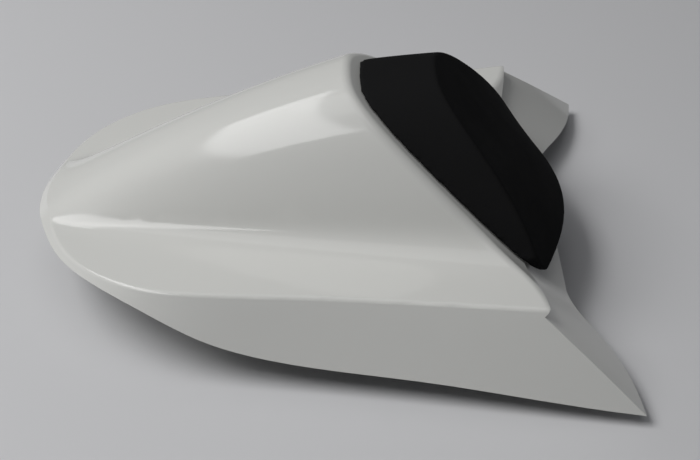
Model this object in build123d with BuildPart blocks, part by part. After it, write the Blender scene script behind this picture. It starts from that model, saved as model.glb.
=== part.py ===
"""Seat cowl of a sports motorbike: the hard cover that takes the place of the pillion seat."""
import os
from math import cos, hypot, radians, sin, tan

from build123d import *

os.makedirs("parts", exist_ok=True)

# Frame: +X forward to the rider, +Y left, +Z up, floor at Z 0, X 0 at mid length. Millimetres.

# Moulded shell.
wall = 3.0
shoulder_round = 3.5
lip_round = 7.0

# Hump: the ridge is a parabola, the half width grows forward, and the cross section is a bell given
# as shares of the half width and of the rise above the shelf.
crown_x = 220.0
crown_z = 168.2
crown_radius = 647.0
hump_mid_half = 69.9
hump_spread = 0.20
hump_bell = ((0.30, 0.967), (0.50, 0.85), (0.65, 0.675), (0.78, 0.455), (0.88, 0.25),
             (0.97, 0.092), (1.07, 0.029), (1.19, 0.0055), (1.34, 0.0))

# Shelf: the valley floor round the hump.
shelf_mid_z = 54.7
shelf_rise = 0.037

# Shoulder: the plan outline at shoulder_z, from the tail round to the brow.
shoulder_z = 54.0
tail_x = -168.2
haunch = (-153.8, 54.0)
hip = (-125.2, 92.4)
waist = (-44.0, 114.5)
brow = (120.4, 140.0)
brow_heading = 9.0

# Skirt: leans outward from the shoulder down to a swept lower edge.
side_flare = 23.0
tail_flare = 45.0
skirt_edge = ((-168.0, 44.3), (-142.0, 45.0), (-113.0, 41.2), (-74.0, 27.5), (-32.0, 18.6), (58.0, 14.3))
tail_edge_z = 44.2
tip_x = 178.0
tip_z = 7.8

# Front: slopes down and forward, flat in the middle and drawn forward at the wings. The brow, its upper
# part, overhangs the wall below it.
front_slope = 40.0
front_x = 13.4
front_z = 131.3
panel_half = 72.0
wing_half = 138.0
wing_forward = 10.8
brow_forward = 13.5
brow_overhang = 3.0
brow_drop = 132.0
wall_edge_z = 20.9

# Back pad: carries the hump's shape on ahead of the front wall, drooping a little, up to a steeper
# face that bulges more the further down it goes.
pad_inset = 4.0
pad_droop = 10.5
pad_half = 84.0
pad_bottom_z = 39.5
pad_corner = 9.0
pad_crest_x = 61.5
pad_crest_z = 141.6
pad_face_slope = 47.5
pad_face_bulge = ((-40.0, 0.5), (55.0, 2.5), (150.0, 39.5))
pad_round = 3.5

# Rubber bumpers on four moulded posts.
bumper_radius = 13.0
bumper_height = 16.0
bumper_round = 4.0
stem_radius = 4.0
stem_length = 12.0
post_radius = 9.0
front_post = (80.0, 90.0)
rear_post = (-80.0, 55.0)

# Steel cross strap with the lock's striker loop.
strap_x = 20.0
strap_z = 37.5
strap_width = 44.0
strap_half = 90.0
strap_corner = 8.0
steel = 2.5
strap_screw_y = 77.0
strap_screw_spacing = 26.0
loop_half = 18.0
loop_rod = 4.0
loop_bend = 11.0
loop_z = 14.0

# Steel tongue that slides under the tail's bracket.
tongue_screw_x = -108.0
tongue_screw_y = 20.0
tongue_z = 42.5
tongue_root = 24.0
tongue_half = 15.0
tongue_end_x = -160.0
tongue_corner = 5.0

# Screws, all alike.
screw_radius = 2.5
screw_length = 12.0
head_radius = 4.75
head_height = 3.5
key_width = 3.0
key_depth = 2.0
boss_radius = 6.0
play = 0.2

# How far the cutting blocks reach, and where the hump's sections stand.
reach_x = 215.0
reach_y = 200.0
reach_z = 160.0
outline_steps = 24
shelf_steps = 5
stations = (-190.0, -160.0, -128.0, -92.0, -52.0, -8.0, 40.0, 95.0, 155.0, reach_x)


def ridge_z(x):
    """Height of the hump's ridge."""
    return crown_z - (x - crown_x) ** 2 / (2 * crown_radius)


def shelf_z(x):
    """Height of the valley floor beside the hump."""
    return shelf_mid_z + shelf_rise * x


def hump_half(x):
    """Half width of the hump at its foot."""
    return hump_mid_half + hump_spread * x


def section_points(x, inset):
    """Points across the upper skin at x, right to left, at the given depth."""
    half = hump_half(x) - inset
    base = shelf_z(x) - inset
    rise = ridge_z(x) - shelf_z(x)
    left = [(share * half, base + height * rise) for share, height in hump_bell]
    foot = hump_bell[-1][0] * half
    left += [(foot * (reach_y / foot) ** (step / shelf_steps), base) for step in range(1, shelf_steps + 1)]
    right = [(-y, z) for y, z in reversed(left)]
    return right + [(0, base + rise)] + left


def section_pace():
    """Distances along the section at mid length. All sections keep this pace, so the skin has no ripples."""
    points = section_points(0, 0)
    pace = [0.0]
    for (y, z), (next_y, next_z) in zip(points, points[1:]):
        pace.append(pace[-1] + hypot(next_y - y, next_z - z))
    return pace


def upper_block(inset):
    """Everything below the hump and shelf, at the given depth under the skin."""
    with BuildPart() as block:
        for x in stations:
            with BuildSketch(Plane((x, 0, 0), x_dir=(0, 1, 0), z_dir=(1, 0, 0))):
                with BuildLine():
                    top = Edge.make_spline(section_points(x, inset), ((1, 0), (1, 0)), parameters=section_pace())
                    add(top)
                    Polyline(top @ 1, (reach_y, 0), (-reach_y, 0), top @ 0)
                make_face()
        loft()
    return block.part


def shoulder_line():
    """Plan outline of the shoulder, from the left brow round the tail to the right brow."""
    past_brow = (reach_x, brow[1] + (reach_x - brow[0]) * tan(radians(brow_heading)))
    left = [past_brow, brow, waist, hip, haunch]
    right = [(x, -y) for x, y in reversed(left)]
    heading = (cos(radians(brow_heading)), sin(radians(brow_heading)))
    tangents = ((-heading[0], -heading[1]), (heading[0], -heading[1]))
    return Spline(*left, (tail_x, 0), *right, tangents=tangents)


shoulder = shoulder_line()


def skirt_outline(z, inset):
    """Plan outline of the skirt at height z, at the given depth."""
    points = []
    for step in range(outline_steps + 1):
        share = step / outline_steps
        tangent = shoulder % share
        out_x, out_y = -tangent.Y, tangent.X
        flare = tan(radians(side_flare)) * out_y**2 + tan(radians(tail_flare)) * out_x**2
        grow = (shoulder_z - z) * flare - inset * hypot(1, flare)
        place = shoulder @ share
        points.append((place.X - out_x * grow, place.Y - out_y * grow))
    return points


def skirt_block(inset):
    """Everything within the leaning skirt, at the given depth."""
    with BuildPart() as block:
        for z in (0, shoulder_z / 2, reach_z):
            with BuildSketch(Plane.XY.offset(z)):
                with BuildLine():
                    edge = Spline(*skirt_outline(z, inset))
                    Line(edge @ 1, edge @ 0)
                make_face()
        loft()
    return block.part


slope_down = (cos(radians(front_slope)), 0, -sin(radians(front_slope)))
front_plane = Plane((front_x, 0, front_z), x_dir=(0, 1, 0), z_dir=slope_down)


def front_space(forward, wing, start):
    """The space ahead of the front, moved forward and further at the wings, from start down its slope."""
    with BuildPart() as space:
        with BuildSketch(front_plane.offset(start)):
            with BuildLine():
                middle = Line((-panel_half, forward), (panel_half, forward))
                bend = ((panel_half + wing_half) / 2, forward + wing / 2)
                tip = (wing_half, forward + wing)
                end = (reach_y, forward + wing)
                side = Spline(middle @ 1, bend, tip, end, tangents=((1, 0), (1, 0)))
                mirror(side, about=Plane.YZ)
                Polyline(side @ 1, (reach_y, reach_z), (-reach_y, reach_z), (-end[0], end[1]))
            make_face()
        extrude(amount=2 * reach_x)
    return space.part


def room_below(inset):
    """All that lies deeper than the given depth under the shell's skin."""
    upper = upper_block(inset)
    ahead_of_brow = front_space(brow_overhang - inset, brow_forward, -reach_x)
    ahead_of_wall = front_space(-inset, wing_forward, brow_drop - inset)
    skirt = skirt_block(inset)
    with BuildPart() as room:
        add(upper)
        add(ahead_of_brow, mode=Mode.SUBTRACT)
        add(ahead_of_wall, mode=Mode.SUBTRACT)
        add(skirt, mode=Mode.INTERSECT)
    return room.part


def both_sides(*places):
    """The places and their mirror images across the centre plane."""
    return [(x, side * y) for x, y in places for side in (1, -1)]


post_places = both_sides(front_post, rear_post)
strap_screw_xs = (strap_x - strap_screw_spacing / 2, strap_x + strap_screw_spacing / 2)
strap_screw_places = both_sides(*[(x, strap_screw_y) for x in strap_screw_xs])
tongue_screw_places = both_sides((tongue_screw_x, tongue_screw_y))
tip_out = (tip_x - brow[0]) * tan(radians(brow_heading)) + (shoulder_z - tip_z) * tan(radians(side_flare))
tip_y = brow[1] + tip_out
strap_top = strap_z + steel
tongue_top = tongue_z + steel

mid_wall_room = room_below(wall / 2)
inner_room = room_below(wall)
upper_skin = upper_block(0)
skirt_skin = skirt_block(0)
brow_space = front_space(brow_overhang, brow_forward, -reach_x)
wall_space = front_space(0, wing_forward, brow_drop)

# Posts and bosses stand down from the ceiling; they end inside the wall.
with BuildPart() as supports:
    with BuildSketch(Plane.XY.offset(bumper_height)):
        with Locations(*post_places):
            Circle(post_radius)
    extrude(amount=reach_z)
    with BuildSketch(Plane.XY.offset(strap_top)):
        with Locations(*strap_screw_places):
            Circle(boss_radius)
        for y in (strap_screw_y, -strap_screw_y):
            with Locations((strap_x, y)):
                Rectangle(strap_screw_spacing, wall)
    extrude(amount=reach_z)
    with BuildSketch(Plane.XY.offset(tongue_top)):
        with Locations(*tongue_screw_places):
            Circle(boss_radius)
        with Locations((tongue_screw_x, 0)):
            Rectangle(wall, 2 * tongue_screw_y)
    extrude(amount=reach_z)
    add(mid_wall_room, mode=Mode.INTERSECT)

with BuildPart() as shell:
    add(upper_skin)
    add(brow_space, mode=Mode.SUBTRACT)
    lip = shell.edges().filter_by(GeomType.BSPLINE)
    lip = lip.filter_by(lambda edge: edge.center().Z > shoulder_z and 0 < edge.center().X < tip_x)
    fillet(lip, lip_round)
    add(skirt_skin, mode=Mode.INTERSECT)
    rim = shell.edges().filter_by(lambda edge: edge.length > reach_y and edge.center().X < tail_x)
    fillet(rim, shoulder_round)
    add(wall_space, mode=Mode.SUBTRACT)
    # The skirt's lower edge, swept up toward the tail.
    with BuildSketch(Plane.XZ):
        with BuildLine():
            edge = Spline((-reach_x, tail_edge_z), *skirt_edge, (tip_x, tip_z), (reach_x, tip_z))
            Polyline(edge @ 1, (reach_x, -reach_z), (-reach_x, -reach_z), edge @ 0)
        make_face()
    extrude(amount=reach_y, both=True, mode=Mode.SUBTRACT)
    # The front wall's lower edge, higher in the middle than at the tips.
    with BuildSketch(Plane.YZ.offset(brow[0])):
        Polygon((-panel_half, wall_edge_z), (panel_half, wall_edge_z), (tip_y, tip_z), (tip_y, 0),
                (-tip_y, 0), (-tip_y, tip_z), align=None)
    extrude(amount=reach_x, mode=Mode.SUBTRACT)
    add(inner_room, mode=Mode.SUBTRACT)
    add(supports.part)
    # Bores for the bumpers' stems and the screws.
    with BuildSketch(Plane.XY.offset(bumper_height)):
        with Locations(*post_places):
            Circle(stem_radius + play)
    extrude(amount=stem_length + play, mode=Mode.SUBTRACT)
    with BuildSketch(Plane.XY.offset(strap_top)):
        with Locations(*strap_screw_places):
            Circle(screw_radius + play)
    extrude(amount=screw_length - steel + play, mode=Mode.SUBTRACT)
    with BuildSketch(Plane.XY.offset(tongue_top)):
        with Locations(*tongue_screw_places):
            Circle(screw_radius + play)
    extrude(amount=screw_length - steel + play, mode=Mode.SUBTRACT)

shell.part.label = "cowl_shell"
export_step(shell.part, "parts/cowl_shell.step")

lip_axis = Axis((front_x, 0, front_z), (0, 1, 0))
pad_block = upper_block(pad_inset).rotate(lip_axis, pad_droop)
face_down = (cos(radians(pad_face_slope)), 0, -sin(radians(pad_face_slope)))
pad_face = Plane((pad_crest_x, 0, pad_crest_z), x_dir=(0, 1, 0), z_dir=face_down)

with BuildPart() as behind_face:
    for down, bulge in pad_face_bulge:
        with BuildSketch(pad_face.offset(down)):
            with BuildLine():
                bow = ThreePointArc((-reach_y / 2, -bulge), (0, 0), (reach_y / 2, -bulge))
                Polyline(bow @ 1, (reach_y / 2, -reach_z), (-reach_y / 2, -reach_z), bow @ 0)
            make_face()
    loft()

with BuildPart() as back_pad:
    add(pad_block)
    add(brow_space, mode=Mode.INTERSECT)
    with BuildSketch(Plane.YZ):
        with Locations((0, pad_bottom_z + reach_z / 2)):
            RectangleRounded(2 * pad_half, reach_z, pad_corner)
    extrude(amount=reach_x, mode=Mode.INTERSECT)
    add(behind_face.part, mode=Mode.INTERSECT)
    front = back_pad.faces().filter_by(GeomType.BSPLINE).sort_by(SortBy.AREA)[-1]
    fillet(front.edges(), pad_round)

back_pad.part.label = "back_pad"
export_step(back_pad.part, "parts/back_pad.step")

with BuildPart() as cross_strap:
    with BuildSketch(Plane.XY.offset(strap_z)):
        with Locations((strap_x, 0)):
            RectangleRounded(strap_width, 2 * strap_half, strap_corner)
        with Locations(*strap_screw_places):
            Circle(screw_radius + play, mode=Mode.SUBTRACT)
    extrude(amount=steel)

cross_strap.part.label = "cross_strap"
export_step(cross_strap.part, "parts/cross_strap.step")

with BuildPart() as striker_loop:
    with BuildLine(Plane.YZ.offset(strap_x)):
        FilletPolyline((-loop_half, strap_z), (-loop_half, loop_z), (loop_half, loop_z),
                       (loop_half, strap_z), radius=loop_bend)
    with BuildSketch(Plane((strap_x, -loop_half, strap_z), z_dir=(0, 0, -1))):
        Circle(loop_rod)
    sweep()

striker_loop.part.label = "striker_loop"
export_step(striker_loop.part, "parts/striker_loop.step")

with BuildPart() as rear_tongue:
    with BuildSketch(Plane.XY.offset(tongue_z)):
        with Locations((tongue_screw_x, 0)):
            RectangleRounded(tongue_root, 2 * (tongue_screw_y + tongue_root / 2), tongue_corner)
        with Locations(((tongue_screw_x + tongue_end_x) / 2, 0)):
            RectangleRounded(tongue_screw_x - tongue_end_x, 2 * tongue_half, tongue_corner)
        with Locations(*tongue_screw_places):
            Circle(screw_radius + play, mode=Mode.SUBTRACT)
    extrude(amount=steel)

rear_tongue.part.label = "rear_tongue"
export_step(rear_tongue.part, "parts/rear_tongue.step")

with BuildPart() as bumpers:
    with BuildSketch():
        with Locations(*post_places):
            Circle(bumper_radius)
    extrude(amount=bumper_height)
    fillet(bumpers.edges().group_by(Axis.Z)[0], bumper_round)
    with BuildSketch(Plane.XY.offset(bumper_height)):
        with Locations(*post_places):
            Circle(stem_radius)
    extrude(amount=stem_length)

bumpers.part.label = "rubber_bumpers"
export_step(bumpers.part, "parts/rubber_bumpers.step")

with BuildPart() as screws:
    for top, places in ((strap_z, strap_screw_places), (tongue_z, tongue_screw_places)):
        with BuildSketch(Plane.XY.offset(top)):
            with Locations(*places):
                Circle(head_radius)
        extrude(amount=-head_height)
        with BuildSketch(Plane.XY.offset(top - head_height)):
            with Locations(*places):
                RegularPolygon(key_width / 2, 6, major_radius=False)
        extrude(amount=key_depth, mode=Mode.SUBTRACT)
        with BuildSketch(Plane.XY.offset(top)):
            with Locations(*places):
                Circle(screw_radius)
        extrude(amount=screw_length)

screws.part.label = "mounting_screws"
export_step(screws.part, "parts/mounting_screws.step")
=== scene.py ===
"""Seat cowl of a sports motorbike: finishes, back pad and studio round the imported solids."""
from math import radians

import bmesh
import bpy
import numpy as np
from bpy.props import FloatProperty, FloatVectorProperty, IntProperty, PointerProperty
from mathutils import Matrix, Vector
from mathutils.kdtree import KDTree


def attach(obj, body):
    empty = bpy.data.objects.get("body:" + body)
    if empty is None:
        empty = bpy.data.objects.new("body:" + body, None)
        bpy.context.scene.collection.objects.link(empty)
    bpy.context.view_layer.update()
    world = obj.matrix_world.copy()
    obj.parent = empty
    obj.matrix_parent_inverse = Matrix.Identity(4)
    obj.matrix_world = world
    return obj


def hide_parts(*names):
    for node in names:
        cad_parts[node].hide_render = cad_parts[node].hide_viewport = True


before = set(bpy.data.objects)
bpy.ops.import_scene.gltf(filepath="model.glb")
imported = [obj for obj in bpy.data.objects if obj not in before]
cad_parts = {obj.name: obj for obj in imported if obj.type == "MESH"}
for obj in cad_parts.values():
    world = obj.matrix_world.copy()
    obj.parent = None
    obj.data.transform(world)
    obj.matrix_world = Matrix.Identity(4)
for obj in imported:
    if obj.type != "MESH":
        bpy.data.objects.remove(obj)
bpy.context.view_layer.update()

bl_info = {
    "name": "Seat Cowl",
    "version": (1, 0, 0),
    "blender": (4, 5, 0),
    "location": "View3D > Sidebar > Seat Cowl",
    "description": "Finishes the packed seat cowl: gloss shell, soft back pad, fittings and studio",
    "category": "Object",
}

BODY = "root"
MERGE_DISTANCE = 1e-6
TINY = 1e-12

# Normals of the shell. A cubic is fitted through the nearest points of the same patch, nearer ones
# counting more. Where the normals round a point spread too far, the plain average takes over.
FIT_POINTS = 32
FIT_SOFTNESS = 0.3
FIT_RIDGE = [1e-6] * 2 + [1e-4] * 3 + [1e-3] * 4
SPREAD_LOW = 0.45
SPREAD_RANGE = 0.25
SIDEWAYS = 0.6
SEAM_ANGLE = radians(20.0)

# Cover of the pad. Its back lies against the shell's front wall and is held, its creases in part.
PAD_BACK = Vector((-0.64, 0.0, -0.77))
BACK_MATCH = 0.85
CREASE_START = radians(8.0)
CREASE_GAIN = 3.0
CREASE_MOST = 0.9
RIM_ANGLE = radians(35.0)
RIM_SPACING = 0.25
RIM_REACH = 1.7
REMESH_DEPTH = 7
COVER_QUALITY = 6
COVER_MASS = 0.3

# Grain of each finish: sizes of its clouds and its grain, and strength and depth of its relief.
CLOUD_RANGE = (0.3, 0.7)
SHELL_GRAIN = {"Cloud scale": 9.0, "Grain scale": 260.0, "Grain detail": 1.0}
SHELL_RELIEF = (0.02, 0.0002)
PAD_GRAIN = {"Cloud scale": 26.0, "Grain scale": 1500.0, "Grain detail": 4.0}
PAD_RELIEF = (0.25, 0.0003)
STEEL_GRAIN = {"Cloud scale": 40.0, "Grain scale": 700.0, "Grain detail": 2.0}
STEEL_RELIEF = (0.05, 0.0002)
RUBBER_GRAIN = {"Cloud scale": 60.0, "Grain scale": 1200.0, "Grain detail": 3.0}
RUBBER_RELIEF = (0.2, 0.0003)

# Stage, in metres and degrees.
FLOOR_HALF = 4.0
FLOOR_ROUGHNESS = 0.8
SKY_COLOUR = (0.9, 0.93, 1.0)
SKY_STRENGTH = 0.08
STRIP = {"place": (-0.72, -0.19, 1.0), "size": (0.35, 1.64), "turn": -4.2}
OVERHEAD = {"place": (-0.4, -0.08, 2.4), "size": (2.1, 1.8)}
SIDE = {"place": (-1.9, -0.3, 2.3), "size": (2.0, 2.0)}
CAMERA_PLACE = (0.0018, -0.83156, 0.6042)
CAMERA_TURN = (54.774, 0.0, -0.944)
SENSOR_WIDTH = 36.0


class CowlShellSettings(bpy.types.PropertyGroup):
    """Finish of the moulded shell."""

    colour: FloatVectorProperty(
        name="Shell colour", description="Colour of the moulded plastic", subtype="COLOR",
        size=3, min=0.0, max=1.0, default=(0.725, 0.725, 0.695))
    gloss_roughness: FloatProperty(
        name="Gloss roughness", description="Blur of the reflections on the polished outside",
        subtype="FACTOR", min=0.0, max=1.0, default=0.10)


class CowlPadSettings(bpy.types.PropertyGroup):
    """Shape and finish of the back pad."""

    colour: FloatVectorProperty(
        name="Pad colour", description="Colour of the pad's cover", subtype="COLOR",
        size=3, min=0.0, max=1.0, default=(0.0138, 0.0138, 0.0142))
    cell: FloatProperty(
        name="Mesh cell", description="Size of the cells that the pad is remeshed with",
        subtype="DISTANCE", unit="LENGTH", min=0.001, max=0.01, default=0.002)
    tuck: FloatProperty(
        name="Tuck", description="How far the cover starts inside the foam block",
        subtype="DISTANCE", unit="LENGTH", min=0.0, max=0.005, default=0.0008)
    swell: FloatProperty(
        name="Swell", description="Most that the cover may rise from where it starts",
        subtype="DISTANCE", unit="LENGTH", min=0.0, max=0.01, default=0.0016)
    rim_steps: IntProperty(
        name="Rim steps", description="Rounds of smoothing that roll the back rim over",
        min=0, max=30, default=7)
    pressure: FloatProperty(
        name="Pressure", description="Pressure of the foam under the cover", min=0.0, default=4.0)
    frames: IntProperty(
        name="Frames", description="Steps that the cover is given to settle",
        min=2, max=60, default=20)


class CowlFittingSettings(bpy.types.PropertyGroup):
    """Finish of the steel and rubber under the shell."""

    steel_colour: FloatVectorProperty(
        name="Steel colour", description="Colour of the zinc plating", subtype="COLOR",
        size=3, min=0.0, max=1.0, default=(0.60, 0.60, 0.58))
    rubber_colour: FloatVectorProperty(
        name="Rubber colour", description="Colour of the bumpers", subtype="COLOR",
        size=3, min=0.0, max=1.0, default=(0.02, 0.02, 0.02))


class CowlStageSettings(bpy.types.PropertyGroup):
    """Floor, lamps and camera."""

    floor_colour: FloatVectorProperty(
        name="Floor colour", description="Colour of the plain floor", subtype="COLOR",
        size=3, min=0.0, max=1.0, default=(0.66, 0.66, 0.67))
    key_power: FloatProperty(
        name="Key power", description="Power of the strip light that draws the highlights",
        unit="POWER", min=0.0, default=6.4)
    fill_power: FloatProperty(
        name="Fill power", description="Power of the softbox overhead",
        unit="POWER", min=0.0, default=9.0)
    side_power: FloatProperty(
        name="Side power", description="Power of the softbox on the left",
        unit="POWER", min=0.0, default=68.0)
    lens: FloatProperty(
        name="Lens", description="Focal length of the camera",
        unit="CAMERA", min=1.0, default=81.77)


def node_tree(name):
    """A new material and its node tree, cleared."""
    material = bpy.data.materials.new(name)
    material.use_nodes = True
    material.node_tree.nodes.clear()
    return material, material.node_tree


def add_node(tree, kind, **values):
    """A node with its properties or inputs set by name."""
    node = tree.nodes.new(kind)
    for key, value in values.items():
        if key in node.inputs:
            node.inputs[key].default_value = value
        else:
            setattr(node, key, value)
    return node


def surface_grain():
    """Node group: a fine grain over Object coordinates, as a mask and a height."""
    name = "surface_grain"
    if name in bpy.data.node_groups:
        return bpy.data.node_groups[name]
    group = bpy.data.node_groups.new(name, "ShaderNodeTree")
    sockets = group.interface
    for label, default in (("Cloud scale", 12.0), ("Grain scale", 900.0), ("Grain detail", 3.0)):
        socket = sockets.new_socket(label, in_out="INPUT", socket_type="NodeSocketFloat")
        socket.default_value = default
    for label in ("Cloud", "Height"):
        sockets.new_socket(label, in_out="OUTPUT", socket_type="NodeSocketFloat")
    inside = group.nodes.new("NodeGroupInput")
    outside = group.nodes.new("NodeGroupOutput")
    place = group.nodes.new("ShaderNodeTexCoord")
    cloud = add_node(group, "ShaderNodeTexNoise", Detail=3.0, Roughness=0.6)
    grain = add_node(group, "ShaderNodeTexNoise", Roughness=0.55)
    group.links.new(place.outputs["Object"], cloud.inputs["Vector"])
    group.links.new(place.outputs["Object"], grain.inputs["Vector"])
    group.links.new(inside.outputs["Cloud scale"], cloud.inputs["Scale"])
    group.links.new(inside.outputs["Grain scale"], grain.inputs["Scale"])
    group.links.new(inside.outputs["Grain detail"], grain.inputs["Detail"])
    group.links.new(cloud.outputs["Fac"], outside.inputs["Cloud"])
    group.links.new(grain.outputs["Fac"], outside.inputs["Height"])
    return group


def finish_material(name, colour, tint, roughness, grain, relief, **sockets):
    """A finish whose colour, roughness and relief follow the surface grain.

    The colour goes down to its tint share, and the roughness from its first to its second value.
    """
    material, tree = node_tree(name)
    output = tree.nodes.new("ShaderNodeOutputMaterial")
    shader = add_node(tree, "ShaderNodeBsdfPrincipled", **sockets)
    group = tree.nodes.new("ShaderNodeGroup")
    group.node_tree = surface_grain()
    for label, value in grain.items():
        group.inputs[label].default_value = value
    mix = add_node(tree, "ShaderNodeMix", data_type="RGBA")
    mix.inputs["A"].default_value = (*[tint * part for part in colour], 1.0)
    mix.inputs["B"].default_value = (*colour, 1.0)
    gloss = add_node(tree, "ShaderNodeMapRange")
    gloss.inputs["From Min"].default_value, gloss.inputs["From Max"].default_value = CLOUD_RANGE
    gloss.inputs["To Min"].default_value, gloss.inputs["To Max"].default_value = roughness
    bump = add_node(tree, "ShaderNodeBump", Strength=relief[0], Distance=relief[1])
    tree.links.new(group.outputs["Cloud"], mix.inputs["Factor"])
    tree.links.new(mix.outputs["Result"], shader.inputs["Base Color"])
    tree.links.new(group.outputs["Cloud"], gloss.inputs["Value"])
    tree.links.new(gloss.outputs["Result"], shader.inputs["Roughness"])
    tree.links.new(group.outputs["Height"], bump.inputs["Height"])
    tree.links.new(bump.outputs["Normal"], shader.inputs["Normal"])
    tree.links.new(shader.outputs["BSDF"], output.inputs["Surface"])
    return material


def dress(node, material):
    """Puts a material on a CAD node."""
    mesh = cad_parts[node].data
    mesh.materials.clear()
    mesh.materials.append(material)


def copy_of_node(node, name):
    """A new object with the node's mesh, its patches numbered and its doubles merged."""
    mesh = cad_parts[node].data.copy()
    mesh.name = name
    mesh.attributes.new("patch", "INT", "FACE").data.foreach_set("value", face_patches(mesh))
    piece = bpy.data.objects.new(name, mesh)
    bpy.context.collection.objects.link(piece)
    form = bmesh.new()
    form.from_mesh(mesh)
    bmesh.ops.remove_doubles(form, verts=form.verts, dist=MERGE_DISTANCE)
    form.to_mesh(mesh)
    form.free()
    return piece


def triangles_of(mesh):
    """Vertex indices of a mesh's triangles."""
    corners = np.empty(len(mesh.loops), dtype=np.int64)
    mesh.loops.foreach_get("vertex_index", corners)
    return corners.reshape(-1, 3)


def points_of(mesh):
    """Places of a mesh's vertices."""
    places = np.empty(3 * len(mesh.vertices))
    mesh.vertices.foreach_get("co", places)
    return places.reshape(-1, 3)


def face_patches(mesh):
    """A number for each face: the surface patch of the solid that it lies on."""
    triangles = triangles_of(mesh)
    label = np.arange(len(mesh.vertices))
    while True:
        lower = label.copy()
        np.minimum.at(lower, triangles, label[triangles].min(axis=1)[:, None])
        lower = lower[lower]
        if (lower == label).all():
            return np.unique(label[triangles[:, 0]], return_inverse=True)[1].astype(np.int32)
        label = lower


def unit(vectors):
    """The vectors at length one."""
    return vectors / np.maximum(np.linalg.norm(vectors, axis=-1, keepdims=True), TINY)


def widened(pairs, ring, count):
    """Pairs joined to the ring's next step: from (a, b) and (b, c) come all (a, c)."""
    start = np.searchsorted(ring[:, 0], np.arange(count + 1))
    length = np.diff(start)[pairs[:, 1]]
    step = np.arange(length.sum()) - np.repeat(np.cumsum(length) - length, length)
    ends = ring[np.repeat(start[pairs[:, 1]], length) + step, 1]
    keys = np.unique(np.repeat(pairs[:, 0], length) * count + ends)
    return np.stack([keys // count, keys % count], axis=1)


def fitted_normals(mesh):
    """Corner normals of a merged copy, from a cubic surface fitted round each vertex in its patch."""
    patch = np.empty(len(mesh.polygons), dtype=np.int32)
    mesh.attributes["patch"].data.foreach_get("value", patch)
    triangles, places = triangles_of(mesh), points_of(mesh)
    patches = int(patch.max()) + 1
    keys, site = np.unique(triangles * patches + patch[:, None], return_inverse=True)
    site = site.reshape(-1, 3)
    vertex = keys // patches
    count = len(keys)
    spans = np.cross(places[triangles[:, 1]] - places[triangles[:, 0]],
                     places[triangles[:, 2]] - places[triangles[:, 0]])
    rough = np.zeros((count, 3))
    np.add.at(rough, site, spans[:, None, :])
    rough = unit(rough)

    ways = ((0, 1), (1, 2), (2, 0), (1, 0), (2, 1), (0, 2))
    sides = np.concatenate([site[:, [first, last]] for first, last in ways])
    ring = widened(sides, np.stack([np.arange(count)] * 2, axis=1), count)
    pairs = widened(ring, ring, count)
    pairs = pairs[pairs[:, 0] != pairs[:, 1]]
    far = np.linalg.norm(places[vertex[pairs[:, 1]]] - places[vertex[pairs[:, 0]]], axis=1)
    order = np.lexsort((far, pairs[:, 0]))
    pairs, far = pairs[order], far[order]
    start = np.searchsorted(pairs[:, 0], np.arange(count))
    rank = np.arange(len(pairs)) - start[pairs[:, 0]]
    kept = rank < FIT_POINTS
    near = np.zeros((count, FIT_POINTS), dtype=np.int64)
    weight = np.zeros((count, FIT_POINTS))
    near[pairs[kept, 0], rank[kept]] = pairs[kept, 1]
    weight[pairs[kept, 0], rank[kept]] = 1.0

    offset = places[vertex[near]] - places[vertex][:, None, :]
    far = np.linalg.norm(offset, axis=2)
    scale = (far * weight).sum(axis=1) / np.maximum(weight.sum(axis=1), 1.0)
    weight = weight / (FIT_SOFTNESS + (far / scale[:, None]) ** 2)
    aside = np.where(np.abs(rough[:, :1]) < SIDEWAYS, [[1.0, 0, 0]], [[0, 1.0, 0]])
    across = unit(np.cross(rough, aside))
    along = np.cross(rough, across)
    axes = (across, along, rough)
    x, y, z = (np.einsum("ijk,ik->ij", offset, axis) / scale[:, None] for axis in axes)
    terms = np.stack([x, y, x * x, x * y, y * y, x ** 3, x * x * y, x * y * y, y ** 3], axis=2)
    weighted = terms * weight[:, :, None]
    ridge = np.array(FIT_RIDGE) * np.maximum(weight.sum(axis=1), 1.0)[:, None]
    square = np.matmul(weighted.transpose(0, 2, 1), terms) + ridge[:, :, None] * np.eye(len(FIT_RIDGE))
    slope = np.linalg.solve(square, np.einsum("ijk,ij->ik", weighted, z)[:, :, None])[:, :2, 0]
    fitted = unit(rough - slope[:, :1] * across - slope[:, 1:] * along)

    spread = np.where(weight > 0.0, np.einsum("ijk,ik->ij", rough[near], rough), 1.0).min(axis=1)
    share = np.clip((spread - SPREAD_LOW) / SPREAD_RANGE, 0.0, 1.0)[:, None]
    normal = unit(share * fitted + (1.0 - share) * rough)
    by_vertex = np.argsort(vertex, kind="stable")
    meet = np.stack([vertex[by_vertex], by_vertex], axis=1)
    pairs = widened(np.stack([np.arange(count), vertex], axis=1), meet, max(count, len(places)))
    match = np.einsum("ij,ij->i", normal[pairs[:, 0]], normal[pairs[:, 1]])
    close = match > np.cos(SEAM_ANGLE)
    trust = np.bincount(patch, weights=np.linalg.norm(spans, axis=1))[keys % patches][:, None]
    joined = np.zeros((count, 3))
    np.add.at(joined, pairs[close, 0], (normal * trust)[pairs[close, 1]])
    return unit(joined)[site].reshape(-1, 3)


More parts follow.
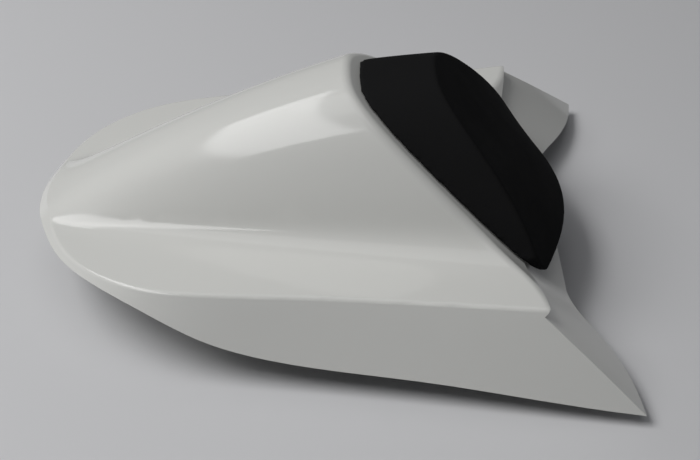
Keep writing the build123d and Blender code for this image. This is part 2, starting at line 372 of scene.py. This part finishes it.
class COWL_OT_shell(bpy.types.Operator):
    """Finish the moulded shell in gloss plastic"""

    bl_idname = "cowl.shell"
    bl_label = "Cowl shell"

    def execute(self, context):
        settings = context.scene.cowl_shell
        rough = settings.gloss_roughness
        gloss = finish_material(
            "gloss_white_moulding", settings.colour, 0.985, (0.8 * rough, 1.2 * rough),
            SHELL_GRAIN, SHELL_RELIEF, IOR=1.5)
        shell = copy_of_node("cowl_shell", "moulded_shell")
        mesh = shell.data
        mesh.polygons.foreach_set("use_smooth", [True] * len(mesh.polygons))
        mesh.normals_split_custom_set(fitted_normals(mesh).tolist())
        mesh.attributes.remove(mesh.attributes["patch"])
        mesh.materials.clear()
        mesh.materials.append(gloss)
        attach(shell, BODY)
        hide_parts("cowl_shell")
        return {"FINISHED"}


def held_share(form):
    """How firmly each point of the pad is held: the back fully, the rim and the crease in part."""
    share = {}
    for point in form.verts:
        bend = max((edge.calc_face_angle(0.0) for edge in point.link_edges), default=0.0)
        back = max(face.normal.dot(PAD_BACK) for face in point.link_faces)
        crease = min(CREASE_MOST, max(0.0, bend - CREASE_START) * CREASE_GAIN)
        share[point.index] = 1.0 if back > BACK_MATCH else crease
    return share


def rim_tree(form, cell):
    """Points along the block's sharp back rim, ready for nearest-point searches."""
    spots = []
    for edge in form.edges:
        if edge.calc_face_angle(0.0) > RIM_ANGLE:
            pieces = max(1, round(edge.calc_length() / (RIM_SPACING * cell)))
            first, last = (point.co for point in edge.verts)
            spots += [first.lerp(last, step / pieces) for step in range(pieces + 1)]
    tree = KDTree(len(spots))
    for index, spot in enumerate(spots):
        tree.insert(spot, index)
    tree.balance()
    return tree


def evaluated_mesh(context, piece):
    """A new mesh of the piece as its modifiers leave it."""
    return bpy.data.meshes.new_from_object(piece.evaluated_get(context.evaluated_depsgraph_get()))


def swell_pad(context, pad, settings):
    """Remeshes the pad, rolls its rim over and lets its cover swell while its back is held."""
    mesh = pad.data
    form = bmesh.new()
    form.from_mesh(mesh)
    for point in form.verts:
        point.co -= settings.tuck * point.normal
    rim = rim_tree(form, settings.cell)
    form.to_mesh(mesh)
    form.free()
    cells = pad.modifiers.new("cells", "REMESH")
    cells.mode = "SHARP"
    cells.octree_depth = REMESH_DEPTH
    cells.scale = max(pad.dimensions) / (settings.cell * 2 ** REMESH_DEPTH)
    cells.sharpness = 1.0
    cells.use_smooth_shade = True
    pad.data = evaluated_mesh(context, pad)
    pad.modifiers.clear()
    mesh = pad.data
    mesh.name = pad.name

    form = bmesh.new()
    form.from_mesh(mesh)
    reach = RIM_REACH * settings.cell
    beside = [point for point in form.verts if rim.find(point.co)[2] < reach]
    for step in range(settings.rim_steps):
        bmesh.ops.smooth_vert(
            form, verts=beside, factor=0.5, use_axis_x=True, use_axis_y=True, use_axis_z=True)
    form.to_mesh(mesh)
    held = pad.vertex_groups.new(name="held")
    for index, share in held_share(form).items():
        held.add([index], share, "REPLACE")
    form.free()
    start = points_of(mesh)
    cover = pad.modifiers.new("cover", "CLOTH")
    cover.settings.quality = COVER_QUALITY
    cover.settings.mass = COVER_MASS
    cover.settings.use_pressure = True
    cover.settings.uniform_pressure_force = settings.pressure
    cover.settings.vertex_group_mass = held.name
    cover.settings.effector_weights.gravity = 0.0
    cover.point_cache.frame_start = 1
    cover.point_cache.frame_end = settings.frames
    for step in range(1, settings.frames + 1):
        context.scene.frame_set(step)
    settled = evaluated_mesh(context, pad)
    rise = points_of(settled) - start
    length = np.linalg.norm(rise, axis=1, keepdims=True)
    rise *= np.minimum(1.0, settings.swell / np.maximum(length, TINY))
    mesh.vertices.foreach_set("co", (start + rise).ravel())
    pad.modifiers.remove(cover)
    bpy.data.meshes.remove(settled)
    context.scene.frame_set(1)
    pad.vertex_groups.remove(held)
    finer = pad.modifiers.new("finer", "SUBSURF")
    finer.levels = finer.render_levels = 1


class COWL_OT_back_pad(bpy.types.Operator):
    """Make the soft back pad from its foam block"""

    bl_idname = "cowl.back_pad"
    bl_label = "Back pad"

    def execute(self, context):
        settings = context.scene.cowl_pad
        pad = copy_of_node("back_pad", "back_pad_cover")
        swell_pad(context, pad, settings)
        cover = finish_material(
            "black_grained_cover", settings.colour, 0.8, (0.70, 0.86),
            PAD_GRAIN, PAD_RELIEF, **{"IOR": 1.35, "Specular IOR Level": 0.04})
        pad.data.materials.clear()
        pad.data.materials.append(cover)
        pad.data.polygons.foreach_set("use_smooth", [True] * len(pad.data.polygons))
        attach(pad, BODY)
        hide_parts("back_pad")
        return {"FINISHED"}


class COWL_OT_fittings(bpy.types.Operator):
    """Finish the steel, rubber and screws under the shell"""

    bl_idname = "cowl.fittings"
    bl_label = "Fittings"

    def execute(self, context):
        settings = context.scene.cowl_fittings
        steel = finish_material(
            "zinc_plated_steel", settings.steel_colour, 0.85, (0.28, 0.42),
            STEEL_GRAIN, STEEL_RELIEF, Metallic=1.0)
        rubber = finish_material(
            "moulded_rubber", settings.rubber_colour, 0.8, (0.6, 0.75),
            RUBBER_GRAIN, RUBBER_RELIEF)
        for node in ("cross_strap", "striker_loop", "rear_tongue", "mounting_screws"):
            dress(node, steel)
        dress("rubber_bumpers", rubber)
        return {"FINISHED"}


def lamp(name, power, place, size, turn=0.0):
    """A level rectangular softbox that shines down, turned by some degrees."""
    light = bpy.data.lights.new(name, "AREA")
    light.shape = "RECTANGLE"
    light.size, light.size_y = size
    light.energy = power
    box = bpy.data.objects.new(name, light)
    box.location = place
    box.rotation_euler = (0.0, 0.0, radians(turn))
    bpy.context.collection.objects.link(box)
    return box


class COWL_OT_stage(bpy.types.Operator):
    """Set up the floor, lamps and camera"""

    bl_idname = "cowl.stage"
    bl_label = "Stage"

    def execute(self, context):
        settings = context.scene.cowl_stage
        scene = context.scene
        scene.view_settings.view_transform = "Standard"

        mesh = bpy.data.meshes.new("floor")
        form = bmesh.new()
        bmesh.ops.create_grid(form, x_segments=1, y_segments=1, size=FLOOR_HALF)
        form.to_mesh(mesh)
        form.free()
        floor = bpy.data.objects.new("floor", mesh)
        context.collection.objects.link(floor)
        material, tree = node_tree("plain_floor")
        output = tree.nodes.new("ShaderNodeOutputMaterial")
        shader = add_node(tree, "ShaderNodeBsdfPrincipled", Roughness=FLOOR_ROUGHNESS)
        shader.inputs["Base Color"].default_value = (*settings.floor_colour, 1.0)
        tree.links.new(shader.outputs["BSDF"], output.inputs["Surface"])
        mesh.materials.append(material)

        world = bpy.data.worlds.new("studio")
        scene.world = world
        world.use_nodes = True
        sky = world.node_tree.nodes["Background"]
        sky.inputs["Color"].default_value = (*SKY_COLOUR, 1.0)
        sky.inputs["Strength"].default_value = SKY_STRENGTH

        # The strip only draws the highlights, and the side softbox only lights the surfaces.
        strip = lamp("strip_left", settings.key_power, **STRIP)
        strip.visible_diffuse = False
        lamp("softbox_overhead", settings.fill_power, **OVERHEAD)
        side = lamp("softbox_left", settings.side_power, **SIDE)
        side.visible_glossy = False

        lens = bpy.data.cameras.new("camera")
        lens.sensor_width = SENSOR_WIDTH
        lens.lens = settings.lens
        camera = bpy.data.objects.new("camera", lens)
        camera.location = CAMERA_PLACE
        camera.rotation_euler = [radians(angle) for angle in CAMERA_TURN]
        context.collection.objects.link(camera)
        scene.camera = camera
        return {"FINISHED"}


class COWL_PT_panel(bpy.types.Panel):
    """Lists the cowl's pieces and their settings"""

    bl_idname = "COWL_PT_panel"
    bl_label = "Seat Cowl"
    bl_space_type = "VIEW_3D"
    bl_region_type = "UI"
    bl_category = "Seat Cowl"

    def draw(self, context):
        scene = context.scene
        for operator, settings, labels in (
            (COWL_OT_shell, scene.cowl_shell, ("colour", "gloss_roughness")),
            (COWL_OT_back_pad, scene.cowl_pad,
             ("colour", "cell", "tuck", "swell", "rim_steps", "pressure", "frames")),
            (COWL_OT_fittings, scene.cowl_fittings, ("steel_colour", "rubber_colour")),
            (COWL_OT_stage, scene.cowl_stage,
             ("floor_colour", "key_power", "fill_power", "side_power", "lens")),
        ):
            box = self.layout.box()
            box.operator(operator.bl_idname)
            for label in labels:
                box.prop(settings, label)


SETTINGS = {
    "cowl_shell": CowlShellSettings,
    "cowl_pad": CowlPadSettings,
    "cowl_fittings": CowlFittingSettings,
    "cowl_stage": CowlStageSettings,
}
OPERATORS = (COWL_OT_shell, COWL_OT_back_pad, COWL_OT_fittings, COWL_OT_stage)


def register():
    """Registers the classes and hangs the settings on the scene."""
    for item in (*SETTINGS.values(), *OPERATORS, COWL_PT_panel):
        bpy.utils.register_class(item)
    for name, settings in SETTINGS.items():
        setattr(bpy.types.Scene, name, PointerProperty(type=settings))


def unregister():
    """Takes the settings and classes away again."""
    for name in SETTINGS:
        delattr(bpy.types.Scene, name)
    for item in reversed((*SETTINGS.values(), *OPERATORS, COWL_PT_panel)):
        bpy.utils.unregister_class(item)


def main():
    """Builds the whole scene in order."""
    register()
    bpy.ops.cowl.shell()
    bpy.ops.cowl.back_pad()
    bpy.ops.cowl.fittings()
    bpy.ops.cowl.stage()


if __name__ == "__main__":
    main()
